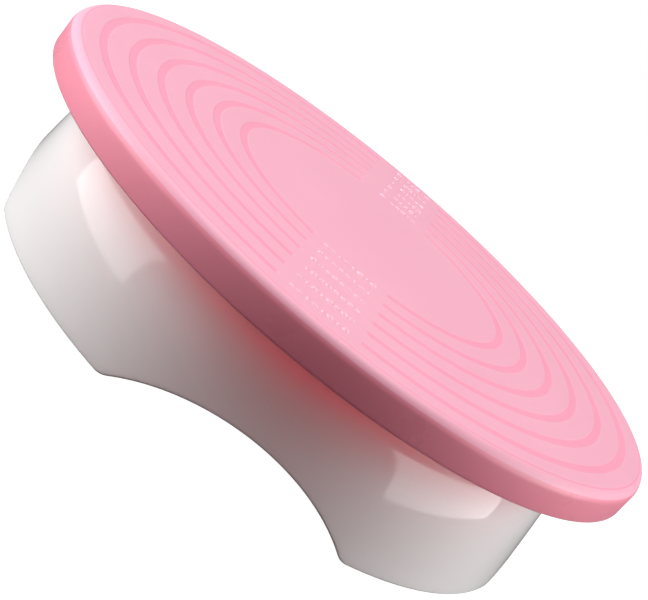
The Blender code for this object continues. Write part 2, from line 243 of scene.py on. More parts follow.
def band_depth(radius, turn):
    """How far the top sinks at a point: full inside a band, nothing on the strip."""
    offset = abs((radius - RING_FIRST + RING_STEP / 2) % RING_STEP - RING_STEP / 2)
    nearest = round((radius - RING_FIRST) / RING_STEP)
    if not 0 <= nearest < RING_COUNT:
        return 0.0
    across = np.clip((BAND_W / 2 - offset) / BAND_WALL, 0.0, 1.0)
    strip = STRIP_NEAR if math.cos(turn) > 0 else STRIP_FAR
    along = np.clip((abs(radius * math.sin(turn)) - strip) / BAND_WALL, 0.0, 1.0)
    return BAND_DEPTH * float(across * along)


print("columns round the plate:", len(columns(0.1)))

# %% [markdown]
# The rows run out over the top, down the rolled edge and the skirt, and back in underneath to the
# seat of the upper raceway and the hub that holds the spindle.

# %% Rows of the plate
EDGE_R = 4.5 * MM
TOP_T = 3.0 * MM
SKIRT_T = 2.5 * MM
UNDER = PLATE_TOP - TOP_T
SEAT_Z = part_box("upper_race")[1].z + 0.3 * MM
SEAT_IN = 34.5 * MM
HUB_R = 10.5 * MM
HUB_LOW = 57.0 * MM
SOCKET_R = 4.3 * MM
SOCKET_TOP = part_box("spindle")[1].z + 0.3 * MM

top_rows = [2.0 * MM, 12.0 * MM, 24.0 * MM, 36.0 * MM, INNER_R, RING_FIRST - 5 * MM]
for index in range(RING_COUNT):
    middle = RING_FIRST + index * RING_STEP
    half = BAND_W / 2
    wall = [half + 0.3 * MM, half, half - BAND_WALL / 2, half - BAND_WALL, half - 2 * BAND_WALL]
    top_rows += [middle - w for w in wall] + [middle] + [middle + w for w in reversed(wall)]
    top_rows.append(middle + RING_STEP / 2)
top_rows = [r for r in top_rows if r < PLATE_R - EDGE_R - 0.2 * MM] + [PLATE_R - EDGE_R - 0.2 * MM]
rings = []
for radius in top_rows:
    turns = columns(radius)
    rings.append([plate_point(t, radius, PLATE_TOP - band_depth(radius, t)) for t in turns])

lip = 0.8 * MM
outer = arc(PLATE_R - EDGE_R, PLATE_TOP - EDGE_R, EDGE_R, 90, 0, 10)
outer += arc(PLATE_R - lip, PLATE_LOW + lip, lip, 0, -90, 4)
outer += arc(PLATE_R - SKIRT_T + lip, PLATE_LOW + lip, lip, 270, 180, 4)
outer += arc(PLATE_R - SKIRT_T - 1.5 * MM, UNDER - 1.5 * MM, 1.5 * MM, 0, 90, 5)
under = outer + [(RACE_OUT + 4 * MM, UNDER), (RACE_OUT + 3 * MM, UNDER - 1 * MM)]
under += [(RACE_OUT + 3 * MM, SEAT_Z + 0.3 * MM), (RACE_OUT + 2.7 * MM, SEAT_Z)]
under += [(SEAT_IN + 0.3 * MM, SEAT_Z), (SEAT_IN, SEAT_Z + 0.3 * MM), (SEAT_IN, UNDER)]
under += [(HUB_R + 1.5 * MM, UNDER), (HUB_R, UNDER - 1.5 * MM), (HUB_R, HUB_LOW + 0.4 * MM)]
under += [(HUB_R - 0.4 * MM, HUB_LOW), (SOCKET_R + 0.3 * MM, HUB_LOW), (SOCKET_R, HUB_LOW + 0.3 * MM)]
under += [(SOCKET_R, SOCKET_TOP)]
rim_turns = columns(PLATE_R)
rings += [[plate_point(t, r, z) for t in rim_turns] for r, z in under]
plate_mesh = skin("plate", rings, (0, 0, PLATE_TOP), (0, 0, SOCKET_TOP))
plate = piece("turntable_plate_fine", plate_mesh, "turntable", "turntable_plate")
print("plate faces:", len(plate.data.polygons))

# %% [markdown]
# ## The base
# The base is one glossy white dome. Its outline is a superellipse on a slight taper: a steep wall, a
# tight shoulder and a flat deck. Four arches rise out of its rim. Each column of points stands on the
# arch's edge at its foot, so the cut edge gets an even rounding all the way along.

# %% The dome and its arches
DECK_R = 80.0 * MM
DOME_POWER = 8.0
TAPER = 0.125
WALL_T = 3.0 * MM
ARCH_R = 77.4 * MM
ARCH_DROP = 59.0 * MM
TOE_R = 8.0 * MM
TOE_X = math.sqrt((ARCH_R + TOE_R) ** 2 - (ARCH_DROP + TOE_R) ** 2)
TOE_JOIN = TOE_X * ARCH_R / (ARCH_R + TOE_R)
RIM_LIP = 0.9 * MM
ARCH_COLUMNS = 64
FOOT_COLUMNS = 22


def dome_radius(height, inset=0.0):
    """The dome's radius at a height; inset gives a surface inside the wall."""
    rise = DECK_Z - FOOT_Z - inset
    up = min(max(height - FOOT_Z, 0.0), rise)
    fullness = (1 - (up / rise) ** DOME_POWER) ** (1 / DOME_POWER)
    return DECK_R + (BASE_R - DECK_R - inset - TAPER * up) * fullness


def rim(s):
    """Height of the rim at a distance s from an arch's middle, and the way from its edge into the wall."""
    a = abs(s)
    side = math.copysign(1.0, s)
    if a >= TOE_X:
        return FOOT_Z, (0.0, 1.0)
    if a >= TOE_JOIN:
        rise = TOE_R - math.sqrt(TOE_R ** 2 - (TOE_X - a) ** 2)
        return FOOT_Z + rise, (side * (TOE_X - a) / TOE_R, (TOE_R - rise) / TOE_R)
    rise = math.sqrt(ARCH_R ** 2 - a ** 2) - ARCH_DROP
    return FOOT_Z + rise, (side * a / ARCH_R, (rise + ARCH_DROP) / ARCH_R)


print(f"arch {1000 * (rim(0)[0] - FOOT_Z):.1f} mm high, {2000 * TOE_X:.1f} mm wide at the foot")

# %% [markdown]
# Each of the four quarters repeats the front one. Within a quarter the arch's columns are spaced by
# width and the foot's by angle; the rows go up the outside to the deck, in to the hub tube, and
# back down the inside of the wall.

# %% Stitch the base
SHOULDER_Z = 31.0 * MM
HUB_TUBE_R = 11.5 * MM
FLAT_R = 40 * MM
BUSH_R = 7.8 * MM
TUBE_LOW = 28.6 * MM
half_count = ARCH_COLUMNS // 2
arch_s = [TOE_X * math.sin(math.pi / 2 * k / half_count) for k in range(-half_count, half_count + 1)]


def column_points(s, foot_turn, inset, rows):
    """Points of one column from a list of (way into the wall, inward step, height share) rows."""
    points = []
    for inward, upward, share in rows:
        if foot_turn is None:
            edge_z, (ns, nz) = rim(s)
            x = s + ns * upward
            z = edge_z + nz * upward
            z = z + (SHOULDER_Z - z) * share
            x = x + (s - x) * share
            radius = dome_radius(z, inset) - inward if inset == 0 else dome_radius(z, inset) + inward
            points.append((x, -math.sqrt(max(radius ** 2 - x ** 2, 0.0)), z))
        else:
            z = FOOT_Z + upward
            z = z + (SHOULDER_Z - z) * share
            radius = dome_radius(z, inset) - inward if inset == 0 else dome_radius(z, inset) + inward
            points.append((radius * math.sin(foot_turn), -radius * math.cos(foot_turn), z))
    return points


def rounding(reverse):
    """Rows round one edge of the rim."""
    turns = [math.pi / 2 * k / 5 for k in range(6)]
    rows = [(RIM_LIP * (1 - math.cos(t)), RIM_LIP * (1 - math.sin(t)), 0.0) for t in turns]
    return list(reversed(rows)) if reverse else rows


shares = [k / 12 for k in range(12, 0, -1)]
outside_rows = [(0.0, RIM_LIP, k) for k in shares] + rounding(False)
inside_rows = rounding(True) + [(0.0, RIM_LIP, k) for k in reversed(shares)]
toe_turn = math.asin(TOE_X / dome_radius(FOOT_Z))
foot_turns = list(np.linspace(toe_turn, math.pi / 2 - toe_turn, FOOT_COLUMNS))[1:-1]
quarter_columns = [(s, None) for s in arch_s] + [(None, t) for t in foot_turns]
outer_columns = [column_points(s, t, 0.0, outside_rows) for s, t in quarter_columns]
inner_columns = [column_points(s, t, WALL_T, inside_rows) for s, t in quarter_columns]


def ring_of(front_columns, row):
    """One full ring from a row of the front quarter's columns."""
    return [turn @ Vector(column[row]) for turn in around(4) for column in front_columns]


def shifted(ring, inset, height):
    """A ring's columns carried up the dome to another height."""
    radius = dome_radius(height, inset)
    return [Vector((p.x, p.y, 0)).normalized() * radius + Vector((0, 0, height)) for p in ring]


def shoulder_heights(inset, count):
    """Heights from the shoulder to the deck, crowded where the wall turns over."""
    rise = DECK_Z - FOOT_Z - inset
    first = math.asin(((SHOULDER_Z - FOOT_Z) / rise) ** (DOME_POWER / 2))
    turns = np.linspace(first, math.pi / 2, count)[1:]
    return [FOOT_Z + rise * math.sin(t) ** (2 / DOME_POWER) for t in turns]


outer_base = ring_of(outer_columns, 0)
dome_heights = shoulder_heights(0.0, 34)
inner_heights = shoulder_heights(WALL_T, 24)
base_rings = [shifted(outer_base, 0.0, z) for z in reversed(dome_heights)]
base_rings += [ring_of(outer_columns, row) for row in range(len(outside_rows))]
base_rings += [ring_of(inner_columns, row) for row in range(len(inside_rows))]
base_rings += [shifted(outer_base, WALL_T, z) for z in inner_heights]
CEILING = DECK_Z - WALL_T
tube = [(FLAT_R, CEILING), (HUB_TUBE_R + 1.5 * MM, CEILING), (HUB_TUBE_R, CEILING - 1.5 * MM)]
tube += [(HUB_TUBE_R, TUBE_LOW + 0.4 * MM), (HUB_TUBE_R - 0.4 * MM, TUBE_LOW)]
tube += [(BUSH_R + 0.3 * MM, TUBE_LOW), (BUSH_R, TUBE_LOW + 0.3 * MM)]
tube += [(BUSH_R, DECK_Z - 0.3 * MM), (BUSH_R + 0.3 * MM, DECK_Z), (FLAT_R, DECK_Z)]
spokes = [Vector((p.x, p.y, 0)).normalized() for p in outer_base]
base_rings += [[spoke * r + Vector((0, 0, z)) for spoke in spokes] for r, z in tube]
base = piece("base_shell_fine", skin("base", base_rings), "base", "base_shell")
print("base faces:", len(base.data.polygons))

# %% [markdown]
# ## What stiffens the mouldings
# A thin dome would drum and a thin plate would warp, so both mouldings carry ribs where nobody looks.
# Under the deck, eight ribs run from the hub tube into the wall, and four bosses take the raceway's
# screws. Under the plate, twelve low ribs run out to the skirt.

# %% Ribs and bosses
RIB_LOW = 33.0 * MM
RIB_T = 1.8 * MM
SCREW_CIRCLE = 56.0 * MM
BOSS_R = 4.2 * MM
BOSS_LOW = 41.0 * MM
PILOT_R = 1.3 * MM
BITE = 0.8 * MM
PLATE_RIB_H = 3 * MM
PLATE_RIB_T = 1.6 * MM


def rib_mesh(name, outline, thickness):
    """An upright rib in the plane of the axis, from its (radius, height) outline, with eased edges."""
    mesh = bpy.data.meshes.new(name)
    count = len(outline)
    points = [(r, -thickness / 2, z) for r, z in outline] + [(r, thickness / 2, z) for r, z in outline]
    faces = [tuple(range(count)), tuple(range(2 * count - 1, count - 1, -1))]
    faces += [(i, count + i, count + (i + 1) % count, (i + 1) % count) for i in range(count)]
    mesh.from_pydata(points, [], faces)
    work = bmesh.new()
    work.from_mesh(mesh)
    bmesh.ops.recalc_face_normals(work, faces=work.faces)
    low = min(z for r, z in outline)
    edges = [e for e in work.edges if all(v.co.z < low + 0.01 * MM for v in e.verts)]
    bmesh.ops.bevel(work, geom=edges, offset=0.4 * MM, segments=3, profile=0.5, affect="EDGES")
    work.to_mesh(mesh)
    work.free()
    mesh.shade_smooth()
    mesh.set_sharp_from_angle(angle=math.radians(30))
    return mesh


wall_line = [(dome_radius(z, WALL_T) + 0.2 * MM, z) for z in [RIB_LOW] + inner_heights if z >= RIB_LOW]
rib_outline = [(HUB_TUBE_R - BITE, RIB_LOW)] + wall_line[:-1]
rib_outline += [(DECK_R, CEILING + BITE), (HUB_TUBE_R - BITE, CEILING + BITE)]
base_rib = rib_mesh("base_rib", rib_outline, RIB_T)
base_ribs = piece("base_ribs", copies(base_rib, around(8, math.pi / 8)), "base")
boss_line = [(PILOT_R, CEILING + BITE), (BOSS_R + BITE, CEILING + BITE)]
boss_line += [(BOSS_R + BITE, CEILING), (BOSS_R, CEILING - BITE)]
boss_line += [(BOSS_R, BOSS_LOW + 0.4 * MM), (BOSS_R - 0.4 * MM, BOSS_LOW), (PILOT_R + 0.3 * MM, BOSS_LOW)]
boss_line += [(PILOT_R, BOSS_LOW + 0.3 * MM)]
screw_places = [turn @ Matrix.Translation((SCREW_CIRCLE, 0, 0)) for turn in around(4, math.pi / 4)]
base_bosses = piece("base_bosses", copies(turned("base_boss", boss_line, 40), screw_places), "base")
rib_out = PLATE_R - SKIRT_T + 0.1 * MM
rib_in = RACE_OUT + 2 * MM
plate_rib_outline = [(rib_in, UNDER - PLATE_RIB_H), (rib_out, UNDER - PLATE_RIB_H)]
plate_rib_outline += [(rib_out, UNDER + 0.1 * MM), (rib_in, UNDER + 0.1 * MM)]
plate_rib = rib_mesh("plate_rib", plate_rib_outline, PLATE_RIB_T)
plate_ribs = piece("plate_ribs", copies(plate_rib, around(12, math.pi / 12)), "turntable")
print("rib faces under the deck:", len(base_ribs.data.polygons))
print("rib faces under the plate:", len(plate_ribs.data.polygons))

# %% [markdown]
# ## Feet
# Between the arches the wall turns in a little at the bottom. That gives each foot a flat flange wide
# enough for a rubber pad. Both are swept round the axis from one cross-section.

# %% Flanges and pads
FLANGE_IN = 116.5 * MM
FLANGE_T = 4.0 * MM
PAD_IN = 117.7 * MM
PAD_OUT = 122.1 * MM
PAD_HALF_TURN = math.radians(14.0)
PAD_TAPER = 0.6
SWELL_STEP = 0.35
PAD_SEAT = 1.8 * MM


def sweep(name, half_turn, section, steps, taper):
    """A bar bent round the axis about +X, thinned to its taper at both ends.

    section(k) gives its (radius, height) loop at a step.
    """
    rings = []
    for k in range(steps + 1):
        turn = half_turn * (2 * k / steps - 1)
        swell = min(1.0, taper + min(k, steps - k) * SWELL_STEP)
        loop = section(k)
        middle = sum(r for r, z in loop) / len(loop)
        ring = [(middle + (r - middle) * swell, z) for r, z in loop]
        rings.append([(r * math.cos(turn), r * math.sin(turn), z) for r, z in ring])
    ends = [sum((Vector(p) for p in rings[k]), Vector()) / len(rings[k]) for k in (0, -1)]
    mesh = skin(name, rings, ends[0], ends[1])
    mesh.set_sharp_from_angle(angle=math.radians(45))
    return mesh


def flange_section(_step):
    """The turned-in flange, the same all along: a step leaves a shallow seat for the pad."""
    wall = dome_radius(FOOT_Z + FLANGE_T, WALL_T) + 1 * MM
    seat = FOOT_Z + PAD_SEAT
    loop = [(FLANGE_IN + 0.4 * MM, FOOT_Z), (PAD_IN - 0.3 * MM, FOOT_Z), (PAD_IN - 0.3 * MM, seat)]
    loop += [(wall, seat), (wall, FOOT_Z + FLANGE_T), (FLANGE_IN + 0.4 * MM, FOOT_Z + FLANGE_T)]
    return loop + [(FLANGE_IN, FOOT_Z + FLANGE_T - 0.4 * MM), (FLANGE_IN, FOOT_Z + 0.4 * MM)]


def pad_section(k):
    """A rubber pad with eased edges and a shallow tread across it."""
    low = 0.0 if k % 3 else 0.25 * MM
    high = FOOT_Z + 1.5 * MM
    loop = [(PAD_IN, low + 0.4 * MM), (PAD_IN + 0.12 * MM, low + 0.12 * MM), (PAD_IN + 0.4 * MM, low)]
    loop += [(PAD_OUT - 0.4 * MM, low), (PAD_OUT - 0.12 * MM, low + 0.12 * MM), (PAD_OUT, low + 0.4 * MM)]
    return loop + [(PAD_OUT, high), (PAD_IN, high)]


foot_places = around(4, math.pi / 4)
flange_half = math.pi / 4 - math.asin(TOE_X / FLANGE_IN)
flange = sweep("foot_flange", flange_half, flange_section, 24, 1.0)
flanges = piece("foot_flanges", copies(flange, foot_places), "base")
pads = []
for index, turn in enumerate(foot_places, start=1):
    pad = sweep("pad", PAD_HALF_TURN, pad_section, 36, PAD_TAPER)
    pad.transform(turn)
    pads.append(piece(f"foot_pad_{index}_fine", pad, "base", f"foot_pad_{index}"))
print("feet:", len(pads), "pads,", round(math.degrees(2 * flange_half), 1), "degrees of flange each")

# %% [markdown]
# ## The bearing
# Twelve steel balls roll between two grooved raceways. A nylon cage keeps them apart; it drifts round
# at half the plate's speed. The raceways are turned, then drilled and countersunk for their screws.

# %% Raceways
BALL_Z = (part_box("ball_01")[0].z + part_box("ball_01")[1].z) / 2
BALL_R = (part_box("ball_01")[1].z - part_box("ball_01")[0].z) / 2
BALL_CIRCLE = 45.0 * MM
RACE_IN = 36.5 * MM
GROOVE_R = 4.3 * MM
RACE_OFF = 3.0 * MM
RACE_T = 2.7 * MM
HEAD_R = 2.6 * MM
HEAD_H = 1.4 * MM
SHANK_R = 1.4 * MM
RACE_TOP = BALL_Z - RACE_OFF
ease = 0.3 * MM
groove_turn = math.degrees(math.asin(RACE_OFF / GROOVE_R))
race_line = [(RACE_IN, RACE_TOP - ease), (RACE_IN + ease, RACE_TOP)]
race_line += arc(BALL_CIRCLE, BALL_Z, GROOVE_R, 180.0 + groove_turn, 360.0 - groove_turn, 14)
race_line += [(RACE_OUT - ease, RACE_TOP), (RACE_OUT, RACE_TOP - ease)]
race_line += [(RACE_OUT, RACE_TOP - RACE_T + ease), (RACE_OUT - ease, RACE_TOP - RACE_T)]
race_line += [(RACE_IN + ease, RACE_TOP - RACE_T), (RACE_IN, RACE_TOP - RACE_T + ease)]
hole_r = SHANK_R + 0.3 * MM
drill = [(0, RACE_TOP + ease), (HEAD_R + 0.6 * MM, RACE_TOP + ease), (hole_r, RACE_TOP - HEAD_H - ease)]
drill += [(hole_r, RACE_TOP - 2 * RACE_T), (0, RACE_TOP - 2 * RACE_T)]
flip = Matrix.Translation((0, 0, 2 * BALL_Z)) @ Matrix.Rotation(math.pi, 4, "X")
lower_race = piece("lower_race_fine", turned("race", race_line), "base", "lower_race")
combine(lower_race, copies(turned("drill", drill, 32, False), screw_places), "DIFFERENCE")
upper_mesh = lower_race.data.copy()
upper_mesh.transform(flip)
upper_race = piece("upper_race_fine", upper_mesh, "turntable", "upper_race")
print("raceways:", 2000 * RACE_IN, "to", round(2000 * RACE_OUT, 1), "mm across")

# %% [markdown]
# The cage is a nylon ring pierced with twelve round pockets, a loose fit on the balls, so the balls
# can roll while the ring keeps them evenly spaced.

# %% Cage and balls
CAGE_IN = 37.0 * MM
CAGE_OUT = 53.0 * MM
cage_low = BALL_Z - 1.4 * MM
cage_high = BALL_Z + 1.4 * MM
cage_line = [(CAGE_IN + ease, cage_high), (CAGE_OUT - ease, cage_high), (CAGE_OUT, cage_high - ease)]
cage_line += [(CAGE_OUT, cage_low + ease), (CAGE_OUT - ease, cage_low), (CAGE_IN + ease, cage_low)]
cage_line += [(CAGE_IN, cage_low + ease), (CAGE_IN, cage_high - ease)]
cage = piece("ball_cage_fine", turned("cage", cage_line), "ball_carrier", "ball_cage")
ball_places = [turn @ Matrix.Translation((BALL_CIRCLE, 0, 0)) for turn in around(12)]
pocket_line = [(0, BALL_Z + BALL_R), (GROOVE_R, BALL_Z + BALL_R)]
pocket_line += [(GROOVE_R, BALL_Z - BALL_R), (0, BALL_Z - BALL_R)]
combine(cage, copies(turned("pocket", pocket_line, 40, False), ball_places), "DIFFERENCE")
balls = []
for index, place in enumerate(ball_places, start=1):
    work = bmesh.new()
    centre = place @ Matrix.Translation((0, 0, BALL_Z))
    bmesh.ops.create_uvsphere(work, u_segments=32, v_segments=18, radius=BALL_R, matrix=centre)
    mesh = bpy.data.meshes.new("ball")
    work.to_mesh(mesh)
    work.free()
    mesh.shade_smooth()
    balls.append(piece(f"ball_{index:02d}_fine", mesh, "ball_carrier", f"ball_{index:02d}"))
print("bearing:", len(balls), "balls on a circle", 2000 * BALL_CIRCLE, "mm across")

# %% [markdown]
# ## Spindle and screws
# A steel pin in the plate's hub runs in a flanged nylon bush. Underneath, a washer and a screw stop
# the plate from lifting off. Screws have real threads: the radius follows height and turn together.

# %% Spindle, bush and washer
SPINDLE_R = 4.0 * MM
BUSH_FLANGE_R = 10.5 * MM
WASHER_R = 9.0 * MM
WASHER_HOLE_R = 1.9 * MM
spindle_low, spindle_high = (corner.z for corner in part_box("spindle"))
bush_low, bush_high = (corner.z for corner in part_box("spindle_bush"))
washer_low, washer_high = (corner.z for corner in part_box("retaining_washer"))
pan_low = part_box("retaining_screw")[0].z
pin = [(0, spindle_high), (SPINDLE_R - 0.5 * MM, spindle_high), (SPINDLE_R, spindle_high - 0.5 * MM)]
pin += [(SPINDLE_R, spindle_low + ease), (SPINDLE_R - ease, spindle_low), (2.1 * MM, spindle_low)]
pin += [(1.8 * MM, spindle_low + ease), (1.8 * MM, spindle_low + 10 * MM), (0, spindle_low + 11 * MM)]
spindle = piece("spindle_fine", turned("spindle", pin, 64, False), "turntable", "spindle")
bore = SPINDLE_R + 0.06 * MM
sleeve = [(bore, bush_high - ease), (bore + ease, bush_high)]
sleeve += [(BUSH_FLANGE_R - ease, bush_high), (BUSH_FLANGE_R, bush_high - ease)]
sleeve += [(BUSH_FLANGE_R, DECK_Z + ease), (BUSH_R - ease, DECK_Z + ease)]
sleeve += [(BUSH_R - ease, bush_low + 2 * ease), (BUSH_R - 3 * ease, bush_low)]
sleeve += [(bore + ease, bush_low), (bore, bush_low + ease)]
bush = piece("spindle_bush_fine", turned("bush", sleeve, 96), "base", "spindle_bush")
disc = [(WASHER_HOLE_R, washer_high), (WASHER_R - 0.2 * MM, washer_high)]
disc += [(WASHER_R, washer_high - 0.2 * MM), (WASHER_R, washer_low + ease), (WASHER_R - ease, washer_low)]
disc += [(WASHER_HOLE_R + ease, washer_low), (WASHER_HOLE_R, washer_low + ease)]
washer = piece("retaining_washer_fine", turned("washer", disc, 96), "turntable", "retaining_washer")
for made in (lower_race, upper_race, cage, spindle, bush, washer):
    made.data.set_sharp_from_angle(angle=math.radians(35))
print(f"pin {2000 * SPINDLE_R:.1f} mm across, {1000 * (spindle_high - spindle_low):.1f} mm long")

# %% [markdown]
# The raceway screws have flat countersunk heads; the retaining screw has a pan head. Each has a cross
# recess that narrows as it goes in, cut from the finished head.

# %% Threads and cross recesses
SCREW_COLUMNS = 28


def cross_tool(arm, width, low, high, narrow_end):
    """A cross-shaped driver: full size at one end and narrower at the other."""
    corner = [(arm, -width / 2), (arm, width / 2), (width / 2, width / 2)]
    flat = [Matrix.Rotation(k * math.pi / 2, 2) @ Vector(p) for k in range(4) for p in corner]
    sizes = [(high, 0.6 if narrow_end == "high" else 1.0), (low, 0.6 if narrow_end == "low" else 1.0)]
    rings = [[(p.x * size, p.y * size, z) for p in flat] for z, size in sizes]
    return skin("cross", rings, (0, 0, high), (0, 0, low))


def threaded_rows(core, crest, pitch, high, low):
    """Rows of points down a threaded shank that ends in a short point."""
    steps = int((high - low) / pitch * 6)
    rows = []
    for k in range(steps + 1):
        z = high + (low - high) * k / steps
        fade = min(1.0, (steps - k) / 5, k / 3)
        ring = []
        for i in range(SCREW_COLUMNS):
            turn = math.tau * i / SCREW_COLUMNS
            phase = (z / pitch - turn / math.tau) % 1.0
            ridge = (crest - core) * fade * (1 - abs(2 * phase - 1))
            radius = core * min(1.0, 0.55 + (steps - k) / 12) + ridge
            ring.append((radius * math.cos(turn), radius * math.sin(turn), z))
        rows.append(ring)
    return rows


def rows_of(profile):
    """Turned rows to go above a thread."""
    turns = [math.tau * i / SCREW_COLUMNS for i in range(SCREW_COLUMNS)]
    return [[(r * math.cos(t), r * math.sin(t), z) for t in turns] for r, z in profile]


print("threads have", SCREW_COLUMNS, "points a turn")

# %% [markdown]
# One raceway screw is made and cut, then copied to its eight places. The four under the plate are the
# same screw turned upside down. The retaining screw's thread runs out into a thin neck in the washer.

# %% Screws
RACE_SCREW_L = 8.5 * MM
RACE_CORE_R = 1.0 * MM
RACE_PITCH = 0.9 * MM
PAN_R = 3.6 * MM
PAN_CORE_R = 1.2 * MM
PAN_CREST_R = 1.6 * MM
PAN_PITCH = 0.8 * MM
screw_top = RACE_TOP - 0.1 * MM
screw_tip = screw_top - RACE_SCREW_L
thread_top = screw_top - HEAD_H - 0.3 * MM
head = [(HEAD_R - 0.15 * MM, screw_top), (HEAD_R, screw_top - 0.15 * MM), (SHANK_R, screw_top - HEAD_H)]
screw_rows = rows_of(head) + threaded_rows(RACE_CORE_R, SHANK_R, RACE_PITCH, thread_top, screw_tip)
screw_mesh = skin("race_screw", screw_rows, (0, 0, screw_top), (0, 0, screw_tip))
race_screw = piece("race_screw", screw_mesh, "base")
race_driver = cross_tool(1.7 * MM, 0.8 * MM, screw_top - 1.0 * MM, screw_top + 0.5 * MM, "low")
combine(race_screw, race_driver, "DIFFERENCE")
screws = []
for index, place in enumerate(screw_places, start=1):
    for level, body, move in (("lower", "base", place), ("upper", "turntable", flip @ place)):
        mesh = race_screw.data.copy()
        mesh.transform(move)
        name = f"{level}_screw_{index}"
        screws.append(piece(name + "_fine", mesh, body, name))
bpy.data.objects.remove(race_screw, do_unlink=True)

pan_top = washer_low - 0.3 * MM
pan = [(1.5 * MM, pan_top), (3.4 * MM, pan_top), (PAN_R, pan_top - 0.2 * MM)]
pan += [(PAN_R, pan_top - 1.2 * MM), (3.3 * MM, pan_top - 1.7 * MM)]
pan += [(2.8 * MM, pan_low + 0.4 * MM), (1.8 * MM, pan_low)]
shaft = rows_of(pan)
pan_tip = spindle_low + 8.5 * MM
thread = threaded_rows(PAN_CORE_R, PAN_CREST_R, PAN_PITCH, spindle_low + 8.3 * MM, pan_top + 0.3 * MM)
pan_mesh = skin("pan_screw", thread + shaft, (0, 0, pan_tip), (0, 0, pan_low))
retaining_screw = piece("retaining_screw_fine", pan_mesh, "turntable", "retaining_screw")
pan_driver = cross_tool(2.2 * MM, 1.0 * MM, pan_low - 1.0 * MM, pan_low + 1.2 * MM, "high")
combine(retaining_screw, pan_driver, "DIFFERENCE")
print("screws:", len(screws) + 1)

# %% [markdown]
# ## Raised marks on the strip
# The plain strip carries two small blocks of raised marks, one row beside each guide ring. They're
# generic: domes, little rings and dashes, each about a third of a millimetre high.

# %% Raised marks
MARK_H = 0.30 * MM
MARK_SIZE = 2.9 * MM
NEAR_MARKS = 8
FAR_MARKS = 5


def dome_mark(size):
    """A low round dot."""
    line = [(0, MARK_H), (size * 0.18, MARK_H * 0.92), (size * 0.3, MARK_H * 0.55)]
    return turned("dot", line + [(size * 0.38, -MARK_H / 3), (0, -MARK_H / 3)], 14, False)


def ring_mark(size):
    """A small raised ring."""
    wall = size * 0.13
    return turned("ring", [(size * 0.34 + r, z) for r, z in arc(0, 0, wall, 0, 330, 11)], 18)


def dash_mark(size, across):
    """A short rounded dash, across or along the row."""
    mesh = dome_mark(size * 0.7)
    mesh.transform(Matrix.Diagonal((1.9, 0.75, 1, 1) if across else (0.7, 1.5, 1, 1)))
    return mesh


makers = [lambda: dome_mark(MARK_SIZE), lambda: ring_mark(MARK_SIZE), lambda: dash_mark(MARK_SIZE, True),
          lambda: ring_mark(MARK_SIZE * 0.85), lambda: dash_mark(MARK_SIZE, False)]
mark_bmesh = bmesh.new()


def add_mark(kind, along, out):
    """Set one mark on the strip at a place along and out from the middle."""
    mesh = makers[kind % len(makers)]()
    before = len(mark_bmesh.verts)
    mark_bmesh.from_mesh(mesh)
    mark_bmesh.verts.ensure_lookup_table()
    place = Matrix.Rotation(STRIP_TURN, 4, "Z") @ Matrix.Translation((along, -out, PLATE_TOP))
    bmesh.ops.transform(mark_bmesh, matrix=place, verts=mark_bmesh.verts[before:])


for row in range(RING_COUNT):
    out = RING_FIRST + row * RING_STEP
    for column in range(NEAR_MARKS):
        add_mark(row * 3 + column * 2 + column // 3, (column - 3.5) * 3.05 * MM, out)
    add_mark(row + 1, -6.8 * MM, -out)
    for column in range(FAR_MARKS):
        add_mark(row * 2 + column * 3, (column * 2.9 - 1.0) * MM, -out)
mark_mesh = bpy.data.meshes.new("marks")
mark_bmesh.to_mesh(mark_mesh)
mark_bmesh.free()
mark_mesh.shade_smooth()
marks = piece("strip_marks", mark_mesh, "turntable")
print("marks:", len(mark_mesh.polygons), "faces")

# %% [markdown]
# ## Finishes
# Moulded plastic is never one flat value. The pink has a fine satin grain and a faint cloudiness from
# the pigment; the white is polished, so it shows sharp reflections with the slightest unevenness.

# %% Moulded plastic


def plastic(name, dark, light, rough_low, rough_high, cloud_scale, grain_scale, grain_height):
    """A moulded plastic: cloudy pigment, patchy polish and a fine grain."""
    made = bpy.data.materials.new(name)
    made.use_nodes = True
    nodes = made.node_tree.nodes
    links = made.node_tree.links
    shader = nodes["Principled BSDF"]
    place = nodes.new("ShaderNodeTexCoord")
    cloud = nodes.new("ShaderNodeTexNoise")
    cloud.inputs["Scale"].default_value = cloud_scale
    cloud.inputs["Detail"].default_value = 4.0
    ramp = nodes.new("ShaderNodeValToRGB")
    ramp.color_ramp.elements[0].position = 0.15
    ramp.color_ramp.elements[0].color = (*dark, 1.0)
    ramp.color_ramp.elements[1].position = 0.85
    ramp.color_ramp.elements[1].color = (*light, 1.0)
    polish = nodes.new("ShaderNodeTexNoise")
    polish.inputs["Scale"].default_value = cloud_scale * 2.5
    polish.inputs["Detail"].default_value = 6.0
    spread = nodes.new("ShaderNodeMapRange")
    spread.inputs["To Min"].default_value = rough_low
    spread.inputs["To Max"].default_value = rough_high
    grain = nodes.new("ShaderNodeTexNoise")
    grain.inputs["Scale"].default_value = grain_scale
    grain.inputs["Detail"].default_value = 3.0
    bump = nodes.new("ShaderNodeBump")
    bump.inputs["Strength"].default_value = 1.0
    bump.inputs["Distance"].default_value = grain_height
    for texture in (cloud, polish, grain):
        links.new(place.outputs["Object"], texture.inputs["Vector"])
    links.new(cloud.outputs["Fac"], ramp.inputs["Fac"])
    links.new(ramp.outputs["Color"], shader.inputs["Base Color"])
    links.new(polish.outputs["Fac"], spread.inputs["Value"])
    links.new(spread.outputs["Result"], shader.inputs["Roughness"])
    links.new(grain.outputs["Fac"], bump.inputs["Height"])
    links.new(bump.outputs["Normal"], shader.inputs["Normal"])
    shader.inputs["IOR"].default_value = 1.49
    return made


print("plastic recipe ready")

